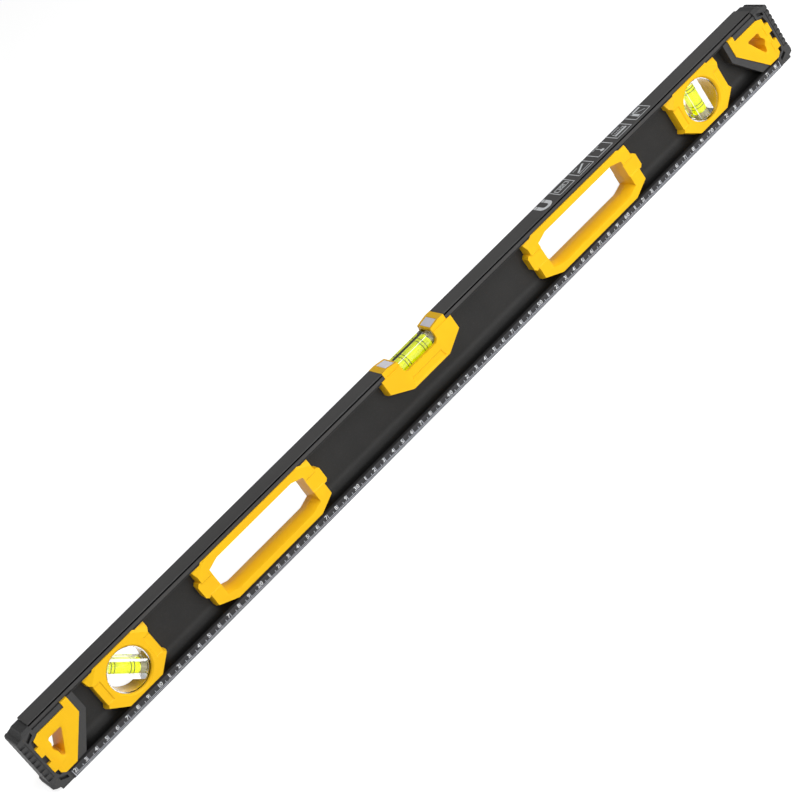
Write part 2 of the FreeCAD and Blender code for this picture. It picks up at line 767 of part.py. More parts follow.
def vial_pose(place, height, angle):
    """A vial's place on the level. Its angle tips the plug end down."""
    def pose(body):
        turn = FreeCAD.Rotation(FreeCAD.Vector(0, 1, 0), angle)
        body.Placement = FreeCAD.Placement(FreeCAD.Vector(), turn)
        body.setExpression("Placement.Base.x", bound(place))
        body.setExpression("Placement.Base.z", bound(height))
    return pose


# End caps and hang-hole inserts, drawn at the left end

def cap_side():
    """Side view of the left cap, with its bumper and its stepped crown."""
    back = f"(-{END} - cap_length)"
    high = f"({TOP} - cap_top)"
    return [
        (f"{back} + toe_run", "cap_foot"),
        (f"-{END}", "cap_foot"),
        (f"-{END}", high),
        (f"{back} + crown_run", high),
        (f"{back} + crown_step", f"{high} - crown_dip"),
        (f"{back} + brow_run", f"{high} - brow_dip"),
        (f"{back} + ridge_run", f"{high} - ridge_dip"),
        (f"{back} + ridge_end", f"{high} - ridge_fall"),
        (back, f"{high} - crown_drop"),
        (back, "bumper_high"),
        (f"{back} - bumper", "bumper_high - bumper"),
        (f"{back} - bumper", "bumper_low"),
        (f"{back} + toe_run", "cap_foot + toe_rise"),
    ]


def both_faces(outline):
    """An outline seen from above, and its mirror on the other face."""
    return [outline, [(x, minus(y)) for x, y in outline]]


def slot_outlines():
    """The two slanted slots in the cap's corners."""
    near = f"(-{END} - slot_near)"
    far = f"({near} - slot_length)"
    upper = [
        (near, "slot_high"),
        (near, "slot_high - slot_width"),
        (far, "slot_high - slot_width - slot_fall"),
        (far, "slot_high - slot_fall"),
    ]
    lower = [
        (near, "slot_low"),
        (near, "slot_low + slot_width"),
        (far, "slot_low + slot_width + slot_fall"),
        (far, "slot_low + slot_fall"),
    ]
    return [upper, lower]


def bay_outline():
    """The bay beside the insert, which its teeth reach across."""
    back = f"(-{END} - tooth_reach - fit_gap)"
    return [
        (f"{back} + bay_slant", "bay_low"),
        (f"-{END} - tooth_root", "bay_low"),
        (f"-{END} - tooth_root", "bay_high"),
        (f"{back} + bay_slant", "bay_high"),
        (back, "tooth_low + tooth_pitch + tooth_height"),
        (back, "tooth_low"),
    ]


def cap_ribs(body, tip):
    """A row of grooves up both upright corners, deepest at the end face."""
    start = f"(-{END} - cap_length)"
    slant = "rib_depth / rib_run"
    strip = [
        (f"{start} + rib_run", "cap_half"),
        (f"{start} + rib_run", "cap_half + wall"),
        (tip, "cap_half + wall"),
        (tip, f"cap_half - ({start} + rib_run - {tip}) * {slant}"),
    ]
    grooves = pocket(body, new_sketch(body, PLAN, both_faces(strip), "rib_low"), "rib_gap", away=True)
    row = body.newObject("PartDesign::LinearPattern", "Ribs")
    row.Originals = [grooves]
    row.Direction = (next(item for item in body.Origin.OriginFeatures if item.Role == "Z_Axis"), [""])
    row.setExpression("Length", bound("rib_high - rib_low - rib_gap"))
    row.setExpression("Occurrences", bound("floor((rib_high - rib_low - rib_gap) / rib_pitch) + 1"))
    body.Tip = row
    line = [
        (f"{start} + rib_run", "rib_low"),
        (f"{start} + rib_run + seam", "rib_low"),
        (f"{start} + rib_run + seam", "rib_high"),
        (f"{start} + rib_run", "rib_high"),
    ]
    cut_faces(body, [line], "cap_half - seam")


def cut_faces(body, outlines, level):
    """The same recess in both faces, from a level outwards."""
    for sign in ("", "-"):
        recess = new_sketch(body, FRONT, outlines, f"{sign}({level})")
        pocket(body, recess, "cap_half", away=not sign)


def make_end_cap(label, turned):
    body = new_body(label)
    pad(body, new_sketch(body, FRONT, [cap_side()]), "cap_half * 2", middle=True)
    tip = f"(-{END} - cap_length - bumper - wall)"
    inner = f"(-{END} - cap_length)"
    corner = [
        (f"{inner} + cap_bevel + wall", "cap_half + wall"),
        (tip, "cap_half + wall"),
        (tip, f"cap_half - cap_bevel - ({inner} - {tip})"),
    ]
    pocket(body, new_sketch(body, PLAN, both_faces(corner)))
    high = f"({TOP} - cap_top)"
    shoulder = [
        ("cap_half + wall", f"{high} - cap_shoulder - wall"),
        ("cap_half + wall", f"{high} + wall"),
        ("cap_half - cap_shoulder - wall", f"{high} + wall"),
    ]
    pocket(body, new_sketch(body, END_VIEW, [shoulder, flipped(shoulder)]))
    cap_ribs(body, tip)

    plate = [
        (f"-{END} - wall", FOOT),
        (f"-{END} + plate_foot", FOOT),
        (f"-{END} + plate_reach", "plate_corner"),
        (f"-{END} + plate_reach", f"{HOOK} - fit_gap"),
        (f"-{END} - wall", f"{HOOK} - fit_gap"),
    ]
    pad(body, new_sketch(body, FRONT, [plate]), "plate_half * 2", middle=True)
    web = [(f"-{END}", minus(SEAT)), (FAR, minus(SEAT)), (FAR, SEAT), (f"-{END}", SEAT)]
    pocket(body, new_sketch(body, PLAN, [web]))
    channels = lower_channel() + [top_channel()]
    pocket(body, new_sketch(body, END_VIEW, channels, f"-{END}"), "plate_reach * 2", away=True)

    pocket(body, new_sketch(body, FRONT, [insert_outline("fit_gap")]))
    cut_faces(body, [bay_outline()], "insert_half + tooth_proud - tooth_depth - fit_gap")
    cut_faces(body, slot_outlines(), "cap_half - slot_depth")
    cut_faces(body, [tab_outline("fit_gap")], "top_half")
    place_body(body, turned=turned)


def make_hang_insert(label, turned):
    """The front half is drawn, and the rear half is its mirror."""
    body = new_body(label)
    pad(body, new_sketch(body, FRONT, [insert_outline()]), "insert_half")
    pocket(body, new_sketch(body, END_VIEW, lower_channel(), f"-{END}"), "insert_reach * 2", away=True)
    teeth = new_sketch(body, FRONT, tooth_outlines(), "insert_half + tooth_proud - tooth_depth")
    pad(body, teeth, "tooth_depth")
    tab = new_sketch(body, FRONT, [tab_outline()], "top_half + fit_gap")
    pad(body, tab, "insert_half - top_half - fit_gap")
    near, far, tip = (f"-{END} + {name}" for name in ("hang_near", "hang_far", "hang_tip"))
    corners = [(near, "hang_low + hang_heel"), (tip, "hang_low"), (far, "hang_high"), (near, "hang_high")]
    hole = pocket(body, new_sketch(body, FRONT, [corners]))
    walls = edge_names(hole, [(across, "-insert_half / 2", up) for across, up in corners])
    hole = bevel(body, hole, walls, "hang_corner")
    bevel(body, hole, rim_edges(hole, "-insert_half"), "hang_wall", "hang_face")
    nail = [
        (f"{near} + nail_depth", "nail_low"),
        (f"{near} + nail_depth", "nail_high"),
        (near, "nail_high"),
        (f"{near} - nail_depth", "nail_high - nail_slope"),
        (f"{near} - nail_depth", "nail_low + nail_slope"),
        (near, "nail_low"),
    ]
    pocket(body, new_sketch(body, FRONT, [nail]))
    doc.recompute()
    mirror = body.newObject("PartDesign::Mirrored", "Rear")
    mirror.TransformMode = "Whole shape"
    mirror.MirrorPlane = (next(item for item in body.Origin.OriginFeatures if item.Role == FRONT), [""])
    body.Tip = mirror
    place_body(body, turned=turned)


def make_magnet(label, place):
    body = new_body(label)
    disc = ("circle", "0", "0", "magnet_radius - fit_gap")
    pad(body, new_sketch(body, PLAN, [disc]), "magnet_height")
    place_body(body, place)


make_profile()
for turned, end in ((False, "left"), (True, "right")):
    make_end_cap(f"end_cap_{end}", turned)
    make_hang_insert(f"hang_insert_{end}", turned)
for end in ("left", "right"):
    for turned, face in ((False, "front"), (True, "rear")):
        make_grip(f"grip_{face}_{end}", from_end("grip_place", end), turned)
        make_vial_housing(f"vial_housing_{face}_{end}", from_end("vial_place", end), turned)
for turned, face in ((False, "front"), (True, "rear")):
    make_centre_housing(f"centre_housing_{face}", turned)
for turned, end in ((False, "right"), (True, "left")):
    make_sight_plate(f"sight_plate_{end}", turned)

MITER = vial_pose(from_end("vial_place", "left"), "vial_height", 45)
PLUMB = vial_pose(from_end("vial_place", "right"), "vial_height", 90)
VIALS = [
    ("centre", "centre_vial_half", "bubble_place", vial_pose("0", "centre_vial_height", 0)),
    ("miter", END_REACH, f"end_wall - {END_REACH}", MITER),
    ("plumb", END_REACH, f"end_wall - {END_REACH}", PLUMB),
]
for name, reach, bubble, pose in VIALS:
    make_vial_block(f"vial_block_{name}", reach, pose, round_end=name != "centre")
    make_vial_fluid(f"vial_fluid_{name}", reach, bubble, pose)
    make_vial_plug(f"vial_plug_{name}", reach, pose)
    if name != "centre":
        make_vial_lens(f"vial_lens_{name}", pose)
for index, place in enumerate(MAGNETS, start=1):
    make_magnet(f"magnet_{index}", place)

# Test every feature, then write one file for each body
doc.recompute()
failed = [item.Name for item in doc.Objects if {"Invalid", "Error"} & set(item.State)]
if failed:
    raise RuntimeError(f"Features failed: {failed}")
bodies = [item for item in doc.Objects if item.TypeId == "PartDesign::Body"]
for body in bodies:
    if body.Shape.isNull() or not body.Shape.isValid():
        raise RuntimeError(f"{body.Label} has no valid shape")
os.makedirs("parts", exist_ok=True)
for body in bodies:
    body.Shape.exportStep(f"parts/{body.Label}.step")
    print(body.Label, len(body.Shape.Solids), round(body.Shape.Volume), body.Shape.BoundBox)
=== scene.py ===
"""Looks of the magnetic spirit level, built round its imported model.

Frame: X runs along the level, the ruler face looks toward -Y and Z is up.
Lengths are in metres. The level stands on Z = 0.
"""

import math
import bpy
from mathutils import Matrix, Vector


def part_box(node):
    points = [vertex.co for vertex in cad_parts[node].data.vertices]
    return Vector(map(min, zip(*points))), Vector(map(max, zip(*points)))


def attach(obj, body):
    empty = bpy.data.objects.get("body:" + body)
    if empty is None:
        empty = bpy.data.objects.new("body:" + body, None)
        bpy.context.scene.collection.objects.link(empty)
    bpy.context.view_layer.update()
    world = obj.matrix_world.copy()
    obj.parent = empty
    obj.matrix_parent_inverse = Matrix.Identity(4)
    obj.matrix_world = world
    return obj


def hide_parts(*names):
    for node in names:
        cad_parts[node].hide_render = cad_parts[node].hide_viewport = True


bl_info = {
    "name": "Magnetic Spirit Level",
    "version": (1, 0, 0),
    "blender": (4, 5, 0),
    "location": "View3D > Sidebar > Spirit Level",
    "description": "Finishes, vials and print of a magnetic spirit level",
    "category": "Add Mesh",
}

import bmesh
import bpy
from bpy.props import FloatProperty, FloatVectorProperty, IntProperty, PointerProperty
from mathutils import Matrix, Vector

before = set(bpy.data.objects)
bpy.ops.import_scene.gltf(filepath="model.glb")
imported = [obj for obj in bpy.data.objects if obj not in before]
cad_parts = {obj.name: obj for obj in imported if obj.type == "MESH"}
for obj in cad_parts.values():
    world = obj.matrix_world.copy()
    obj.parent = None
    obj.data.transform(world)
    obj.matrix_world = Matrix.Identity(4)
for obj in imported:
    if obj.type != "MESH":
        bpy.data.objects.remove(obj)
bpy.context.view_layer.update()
BODY = "root"
ENDS = ("left", "right")
FACES = ("front", "rear")

# How the copies of the model's solids are cleaned before their edges are rounded
WELD = 0.00003
FLAT = math.radians(0.6)
SHARP = math.radians(24)

# Faces that meet at less than this are shaded as one
SMOOTH = math.radians(32)

# Where the profile's coat changes and where painted shade darkens its grooves: depths under the top face,
# distances from the middle plane, and heights over the working face
SKIRT_DEPTH = 0.0046
GROOVE_TOP = 0.0008
GROOVE_FOOT = 0.0020
GROOVE_HALF = 0.0093
BASE_HALF = 0.0115
RULER_HALF = 0.0121
RULER_HEIGHT = 0.0067

# The floor lies this far under the working face
FLOOR_GAP = 0.0002


# Settings

def length(name, description, default):
    return FloatProperty(name=name, description=description, default=default,
                         min=0, unit="LENGTH", precision=5)


def share(name, description, default):
    return FloatProperty(name=name, description=description, default=default,
                         min=0, max=1, subtype="FACTOR")


def colour(name, description, default):
    return FloatVectorProperty(name=name, description=description, default=default, min=0, max=1,
                               size=3, subtype="COLOR")


def angle(name, description, default):
    return FloatProperty(name=name, description=description, default=math.radians(default),
                         unit="ROTATION")


def lamp_place(name, default):
    return FloatVectorProperty(name=name, description="Where the lamp stands", default=default,
                               subtype="TRANSLATION", unit="LENGTH")


def lamp_size(name, default):
    return FloatVectorProperty(name=name, description="Width and height of the lamp", default=default,
                               size=2, unit="LENGTH")


class LevelFinish(bpy.types.PropertyGroup):
    """Colours and edge radii of the finishes"""

    web_colour: colour("Web", "Powder coat inside the channel", (0.021, 0.0205, 0.02))
    coat_colour: colour("Coat", "Powder coat on the outer faces", (0.058, 0.0565, 0.056))
    ruler_colour: colour("Ruler ground", "Powder coat under the ruler", (0.042, 0.042, 0.045))
    speck_colour: colour("Specks", "Brighter specks of the powder coat", (0.12, 0.12, 0.125))
    # Painted shade in the cove: the coat fades toward black between these heights, in place of the shade
    # under the top flange
    cove_low: length("Cove foot", "Height where the coat in the cove is darkest", 0.0075)
    cove_high: length("Cove top", "Height where that darkening ends", 0.0165)
    yellow_colour: colour("Yellow", "Moulded plastic", (0.98, 0.57, 0.012))
    cap_colour: colour("Cap", "Black cap rubber", (0.022, 0.022, 0.0225))
    sight_colour: colour("Sight plate", "White sight plates", (0.84, 0.83, 0.92))
    fluid_colour: colour("Fluid", "Vial fluid", (0.86, 0.92, 0.0))
    plug_colour: colour("Plug", "End plug of a vial", (0.85, 0.82, 0.55))
    magnet_colour: colour("Magnet", "Nickel plating", (0.62, 0.6, 0.57))
    coat_grain: length("Coat grain", "Size of the powder coat's grain", 0.0004)
    mould_grain: length("Mould grain", "Size of the spark-eroded texture", 0.00028)
    profile_edge: length("Profile edge", "Edge radius of the profile", 0.00025)
    mould_edge: length("Moulding edge", "Edge radius of the mouldings", 0.0003)
    cap_edge: length("Cap edge", "Edge radius of the end caps", 0.00035)
    vial_edge: length("Vial edge", "Edge radius of the vial blocks", 0.0003)
    magnet_edge: length("Magnet edge", "Edge radius of the magnets", 0.0002)


class LevelPrint(bpy.types.PropertyGroup):
    """Ruler and symbols printed on the profile"""

    thickness: length("Thickness", "Thickness of the print", 0.00002)
    ruler_end: length("Ruler end", "Distance of the closing ticks from the middle", 0.3835)
    ruler_foot: length("Ruler foot", "Height where the ticks start", 0.0003)
    short_tick: length("Short tick", "Height where millimetre ticks end", 0.0027)
    middle_tick: length("Middle tick", "Height where ticks at half a centimetre end", 0.0042)
    long_tick: length("Long tick", "Height where centimetre ticks end", 0.0061)
    tick_width: length("Tick width", "Width of a tick", 0.0004)
    long_width: length("Long tick width", "Width of a centimetre tick", 0.00046)
    digit_height: length("Digit height", "Height of the figures", 0.0031)
    digit_foot: length("Digit foot", "Height where the figures stand", 0.0031)
    digit_gap: length("Digit gap", "Gap between a figure and its tick", 0.0005)
    first_number: IntProperty(name="First number", description="First figure of the ruler", default=2)
    last_number: IntProperty(name="Last number", description="Last figure of the ruler", default=78)
    ruler_zero: FloatProperty(name="Ruler zero", description="Place of the ruler's zero",
                              default=-0.4, unit="LENGTH")
    tick_colour: colour("Ticks", "Ink of the ticks", (0.5, 0.52, 0.57))
    figure_colour: colour("Figures", "Ink of the figures and symbols", (0.8, 0.82, 0.84))
    symbol_line: length("Symbol line", "Line width of the symbols", 0.0007)
    magnet_symbol: length("Magnet symbol", "Place of the magnet symbol from the middle", 0.153)
    first_symbol: length("First box", "Place of the first symbol box", 0.174)
    symbol_pitch: length("Box pitch", "Distance between symbol boxes", 0.0219)
    symbol_width: length("Box width", "Width of a symbol box", 0.0162)
    symbol_depth: length("Box depth", "Depth of a symbol box", 0.015)
    box_middle: length("Box middle", "How far the boxes sit behind the middle", 0.0015)


class LevelVials(bpy.types.PropertyGroup):
    """Sizes of what is inside the clear vial blocks"""

    overlap: length("Overlap", "How far the fluid reaches into its clear wall", 0.00002)
    ring_width: length("Ring width", "Width of a reading ring", 0.00058)
    ring_depth: length("Ring depth", "Thickness of a reading ring", 0.00016)
    pair_pitch: length("Pair pitch", "Distance between the rings of a pair", 0.0027)
    centre_span: length("Centre span", "Distance between the pairs of the top vial", 0.0176)
    centre_shift: length("Centre shift", "How far its rings sit off the middle", 0.0005)
    end_span: length("End span", "Distance between the pairs of an end vial", 0.015)
    end_shift: length("End shift", "How far its rings sit off the middle", 0.0028)
    bubble_half: length("Bubble half length", "Half length of a bubble", 0.0042)
    bubble_radius: length("Bubble radius", "Radius of a bubble across", 0.0026)
    bubble_run: length("Bubble run", "How far the top vial's bubble has run", 0.0095)
    bubble_depth: length("Bubble depth", "How far a bubble's middle lies under the bore's wall", 0.0021)
    bubble_flat: share("Bubble flatness", "Half height of a bubble as a share of its depth", 0.93)
    bubble_gap: length("Bubble gap", "Gap between an end vial's bubble and the bore's end", 0.0004)
    fluid_edge: length("Fluid edge", "Edge radius of the fluid's ends", 0.0008)
    plug_edge: length("Plug edge", "Edge radius of the plug", 0.0002)


class LevelStage(bpy.types.PropertyGroup):
    """Camera, floor and light"""

    azimuth: angle("Azimuth", "Camera turned about the vertical", 19.228)
    elevation: angle("Elevation", "Camera angle above the horizon", 26.31)
    roll: angle("Roll", "Camera turned about its view", -36.125)
    place: FloatVectorProperty(name="Camera place", description="Where the camera stands",
                               default=(-0.52714, -1.42597, 0.77024), subtype="TRANSLATION", unit="LENGTH")
    lens: FloatProperty(name="Lens", description="Focal length on a 36 mm sensor", default=104.04)
    floor_size: length("Floor size", "Side of the floor", 14.0)
    floor_glow: share("Floor glow", "Share of the floor's white that needs no light", 0.8)
    floor_grey: share("Floor grey", "How pale the floor is", 0.8)
    horizon: FloatProperty(name="Horizon", description="Brightness of the world low down", default=1.0)
    zenith: FloatProperty(name="Zenith", description="Brightness of the world overhead", default=0.12)
    dim_from: FloatProperty(name="Dim from", description="Height in the world where it starts to dim",
                            default=0.12)
    dim_to: FloatProperty(name="Dim to", description="Height in the world where it is dimmest",
                          default=0.62)
    ambient: share("Ambient", "Share of the world that lights diffuse surfaces", 0.35)
    key_power: FloatProperty(name="Key", description="Power of the key lamp", default=33.0, unit="POWER")
    key_place: lamp_place("Key place", (0.7, -2.1, 0.6))
    key_size: lamp_size("Key size", (2.4, 0.9))
    top_power: FloatProperty(name="Top", description="Power of the lamp overhead",
                             default=27.0, unit="POWER")
    top_place: lamp_place("Top place", (0.3, -1.1, 1.8))
    top_size: lamp_size("Top size", (2.4, 1.4))


def settings():
    return bpy.context.scene.spirit_level


class LevelSettings(bpy.types.PropertyGroup):
    """All settings of the spirit level"""

    finish: PointerProperty(type=LevelFinish, name="Finish", description="Colours and edge radii")
    print: PointerProperty(type=LevelPrint, name="Print", description="Ruler and symbols")
    vials: PointerProperty(type=LevelVials, name="Vials", description="Insides of the vials")
    stage: PointerProperty(type=LevelStage, name="Stage", description="Camera, floor and light")


# Shader node groups that several materials share

def new_group(name, inputs, outputs):
    group = bpy.data.node_groups.new(name, "ShaderNodeTree")
    for label, kind, default in inputs:
        socket = group.interface.new_socket(name=label, in_out="INPUT", socket_type=kind)
        if default is not None:
            socket.default_value = default
    for label, kind in outputs:
        group.interface.new_socket(name=label, in_out="OUTPUT", socket_type=kind)
    return group, group.nodes.new("NodeGroupInput"), group.nodes.new("NodeGroupOutput")


def maths(tree, operation, *values):
    node = tree.nodes.new("ShaderNodeMath")
    node.operation = operation
    for socket, value in zip(node.inputs, values):
        feed(tree, value, socket)
    return node.outputs["Value"]


def feed(tree, value, socket):
    """Links a socket to an output, or sets its plain value."""
    if isinstance(value, bpy.types.NodeSocket):
        tree.links.new(value, socket)
    else:
        socket.default_value = value


def noise(tree, position, scale, detail=2.0, roughness=0.5):
    node = tree.nodes.new("ShaderNodeTexNoise")
    feed(tree, position, node.inputs["Vector"])
    feed(tree, scale, node.inputs["Scale"])
    node.inputs["Detail"].default_value = detail
    node.inputs["Roughness"].default_value = roughness
    return node.outputs["Fac"]


def map_range(tree, value, low, high, to_low, to_high, smooth=True):
    node = tree.nodes.new("ShaderNodeMapRange")
    node.interpolation_type = "SMOOTHSTEP" if smooth else "LINEAR"
    limits = {"From Min": low, "From Max": high, "To Min": to_low, "To Max": to_high}
    for name, number in limits.items():
        feed(tree, number, node.inputs[name])
    feed(tree, value, node.inputs["Value"])
    return node.outputs["Result"]


def beyond(tree, value, edge, blend=0.0002):
    """One where the value is past the edge, and zero before it."""
    return map_range(tree, value, edge - blend / 2, edge + blend / 2, 0.0, 1.0)


def within(tree, value, edge, blend=0.0002):
    """One where the value hasn't reached the edge, and zero past it."""
    return map_range(tree, value, edge - blend / 2, edge + blend / 2, 1.0, 0.0)


def mix(tree, share_of_second, first, second):
    node = tree.nodes.new("ShaderNodeMix")
    node.data_type = "RGBA"
    feed(tree, share_of_second, node.inputs["Factor"])
    feed(tree, rgba(first), node.inputs["A"])
    feed(tree, rgba(second), node.inputs["B"])
    return node.outputs["Result"]


def rgba(value):
    if isinstance(value, bpy.types.NodeSocket):
        return value
    return (*value[:3], 1.0)


def make_grain_group():
    """Fine grain of a surface: its height, and a mask of its brighter specks."""
    group, given, made = new_group("Surface grain", [
        ("Position", "NodeSocketVector", None),
        ("Size", "NodeSocketFloat", 0.0004),
        ("Coarseness", "NodeSocketFloat", 0.5),
    ], [("Height", "NodeSocketFloat"), ("Specks", "NodeSocketFloat")])
    scale = maths(group, "DIVIDE", 1.0, given.outputs["Size"])
    fine = noise(group, given.outputs["Position"], scale, 2.0, 0.6)
    broad = noise(group, given.outputs["Position"], maths(group, "MULTIPLY", scale, 0.3), 2.0)
    height = group.nodes.new("ShaderNodeMix")
    feed(group, given.outputs["Coarseness"], height.inputs["Factor"])
    feed(group, fine, height.inputs["A"])
    feed(group, broad, height.inputs["B"])
    feed(group, height.outputs["Result"], made.inputs["Height"])
    feed(group, map_range(group, fine, 0.55, 0.75, 0.0, 1.0), made.inputs["Specks"])
    return group


def make_variation_group():
    """Slow change over a surface, for colour and roughness."""
    group, given, made = new_group("Slow variation", [
        ("Position", "NodeSocketVector", None),
        ("Size", "NodeSocketFloat", 0.05),
    ], [("Value", "NodeSocketFloat")])
    scale = maths(group, "DIVIDE", 1.0, given.outputs["Size"])
    value = noise(group, given.outputs["Position"], scale, 3.0, 0.55)
    feed(group, map_range(group, value, 0.3, 0.7, 0.0, 1.0), made.inputs["Value"])
    return group


def grouped(name, maker):
    return bpy.data.node_groups.get(name) or maker()


def place_group(tree, group, values):
    node = tree.nodes.new("ShaderNodeGroup")
    node.node_tree = group
    for name, value in values.items():
        feed(tree, value, node.inputs[name])
    return node


def object_position(tree):
    return tree.nodes.new("ShaderNodeTexCoord").outputs["Object"]


def grain(tree, size, coarseness=0.5):
    group = grouped("Surface grain", make_grain_group)
    values = {"Position": object_position(tree), "Size": size, "Coarseness": coarseness}
    return place_group(tree, group, values)


def variation(tree, size):
    group = grouped("Slow variation", make_variation_group)
    return place_group(tree, group, {"Position": object_position(tree), "Size": size}).outputs["Value"]


def bump(tree, shader, height, distance, strength=1.0):
    node = tree.nodes.new("ShaderNodeBump")
    node.inputs["Distance"].default_value = distance
    node.inputs["Strength"].default_value = strength
    feed(tree, height, node.inputs["Height"])
    feed(tree, node.outputs["Normal"], shader.inputs["Normal"])


def new_material(name):
    material = bpy.data.materials.new(name)
    material.use_nodes = True
    return material, material.node_tree, material.node_tree.nodes["Principled BSDF"]


def shared(name, maker):
    """The material of that name, made at its first use."""
    return bpy.data.materials.get(name) or maker(name)


# Materials

def coat_material(name):
    """Satin powder coat: darker inside the channel, with painted shade that turns it black in the cove and
    the grooves.
    """
    material, tree, shader = new_material(name)
    finish = settings().finish
    separate = tree.nodes.new("ShaderNodeSeparateXYZ")
    feed(tree, object_position(tree), separate.inputs["Vector"])
    across = maths(tree, "ABSOLUTE", separate.outputs["Y"])
    height = separate.outputs["Z"]
    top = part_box("profile")[1].z
    skirt = beyond(tree, height, top - SKIRT_DEPTH, 0.0004)
    base = maths(tree, "MULTIPLY", beyond(tree, across, BASE_HALF, 0.0006),
                 within(tree, height, RULER_HEIGHT, 0.0006))
    outside = maths(tree, "MAXIMUM", skirt, base)
    # Painted shade: the grooves under the top face's front edge are coloured nearly black
    groove_shade = maths(tree, "MULTIPLY", beyond(tree, height, top - GROOVE_FOOT),
                      within(tree, height, top - GROOVE_TOP))
    groove_shade = maths(tree, "MULTIPLY", groove_shade, within(tree, across, GROOVE_HALF))
    on_ruler = maths(tree, "MULTIPLY", beyond(tree, across, RULER_HALF),
                     within(tree, height, RULER_HEIGHT))
    cloud = variation(tree, 0.05)
    texture = grain(tree, finish.coat_grain, 0.45)
    # Painted shade: the web's colour fades toward black down into the cove, where the top flange shades it
    depth = map_range(tree, height, finish.cove_low, finish.cove_high, 0.12, 1.0)
    web = mix(tree, cloud, finish.web_colour, Vector(finish.web_colour) * 1.25)
    web = mix(tree, depth, (0.0, 0.0, 0.0), web)
    coat = mix(tree, cloud, finish.coat_colour, Vector(finish.coat_colour) * 1.12)
    coat = mix(tree, on_ruler, coat, finish.ruler_colour)
    # The grooves' painted shade
    coat = mix(tree, groove_shade, coat, (0.002, 0.002, 0.002))
    body = mix(tree, outside, web, coat)
    speck = maths(tree, "MULTIPLY", texture.outputs["Specks"], 0.3)
    speckled = mix(tree, 0.5, body, finish.speck_colour)
    feed(tree, mix(tree, speck, body, speckled), shader.inputs["Base Color"])
    feed(tree, map_range(tree, outside, 0.0, 1.0, 0.46, 0.4), shader.inputs["Roughness"])
    shader.inputs["Specular IOR Level"].default_value = 0.16
    bump(tree, shader, texture.outputs["Height"], 0.00006, 0.45)
    return material


def yellow_material(name):
    """Satin moulded plastic with a spark-eroded texture."""
    material, tree, shader = new_material(name)
    finish = settings().finish
    texture = grain(tree, finish.mould_grain, 0.4)
    cloud = variation(tree, 0.03)
    yellow = Vector(finish.yellow_colour)
    deep = Vector((yellow.x * 0.96, yellow.y * 0.93, yellow.z))
    feed(tree, mix(tree, cloud, yellow, deep), shader.inputs["Base Color"])
    feed(tree, map_range(tree, cloud, 0.0, 1.0, 0.36, 0.44), shader.inputs["Roughness"])
    shader.inputs["Specular IOR Level"].default_value = 0.14
    bump(tree, shader, texture.outputs["Height"], 0.00003, 0.4)
    return material


def rubber_material(name):
    """Matt rubber with a leathery mould texture."""
    material, tree, shader = new_material(name)
    finish = settings().finish
    texture = grain(tree, finish.coat_grain, 0.6)
    cloud = variation(tree, 0.02)
    worn = Vector(finish.cap_colour) * 1.3
    feed(tree, mix(tree, cloud, finish.cap_colour, worn), shader.inputs["Base Color"])
    feed(tree, map_range(tree, texture.outputs["Height"], 0.3, 0.7, 0.5, 0.66), shader.inputs["Roughness"])
    bump(tree, shader, texture.outputs["Height"], 0.00008, 0.6)
    return material


def white_material(name):
    """Smooth white plastic of the sight plates."""
    material, tree, shader = new_material(name)
    white = Vector(settings().finish.sight_colour)
    feed(tree, mix(tree, variation(tree, 0.006), white, white * 0.96), shader.inputs["Base Color"])
    shader.inputs["Roughness"].default_value = 0.28
    return material


def clear_material(name):
    """Clear cast acrylic, very slightly uneven."""
    material, tree, shader = new_material(name)
    tint = mix(tree, variation(tree, 0.006), (1.0, 1.0, 0.995), (0.97, 0.975, 0.99))
    feed(tree, tint, shader.inputs["Base Color"])
    shader.inputs["Transmission Weight"].default_value = 1.0
    shader.inputs["IOR"].default_value = 1.49
    shader.inputs["Roughness"].default_value = 0.0
    return material


def lens_material(name):
    """The thin clear ring round an end vial, which hardly bends what is seen through it."""
    material, tree, shader = new_material(name)
    tint = mix(tree, variation(tree, 0.006), (1.0, 1.0, 1.0), (0.97, 0.97, 0.98))
    feed(tree, tint, shader.inputs["Base Color"])
    shader.inputs["Transmission Weight"].default_value = 1.0
    shader.inputs["IOR"].default_value = 1.12
    shader.inputs["Roughness"].default_value = 0.0
    return material


def fluid_material(name):
    """Bright yellow-green dyed fluid with a painted glow: it gives off a little light of its own colour
    whatever lights it, in place of the way such dyes glow under light.
    """
    material, tree, shader = new_material(name)
    finish = settings().finish
    fluid = Vector(finish.fluid_colour)
    deep = Vector((fluid.x * 0.9, fluid.y * 0.96, fluid.z))
    colour_now = mix(tree, variation(tree, 0.004), fluid, deep)
    feed(tree, colour_now, shader.inputs["Base Color"])
    # Painted glow: the fluid's colour is also given off as light
    feed(tree, colour_now, shader.inputs["Emission Color"])
    shader.inputs["Emission Strength"].default_value = 0.3
    shader.inputs["Transmission Weight"].default_value = 0.65
    shader.inputs["IOR"].default_value = 1.36
    shader.inputs["Roughness"].default_value = 0.02
    return material


def bubble_material(name):
    """Air in the fluid, so its index is the fluid's turned over."""
    material, tree, shader = new_material(name)
    shader.inputs["Transmission Weight"].default_value = 1.0
    shader.inputs["IOR"].default_value = 1 / 1.36
    shader.inputs["Roughness"].default_value = 0.0
    pale = variation(tree, 0.003)
    feed(tree, mix(tree, pale, (0.98, 0.99, 0.94), (0.94, 0.97, 0.86)), shader.inputs["Base Color"])
    return material


def plug_material(name):
    """Pale translucent stopper of the bore."""
    material, tree, shader = new_material(name)
    plug = Vector(settings().finish.plug_colour)
    feed(tree, mix(tree, variation(tree, 0.002), plug, plug * 0.85), shader.inputs["Base Color"])
    shader.inputs["Transmission Weight"].default_value = 0.4
    shader.inputs["Roughness"].default_value = 0.25
    return material


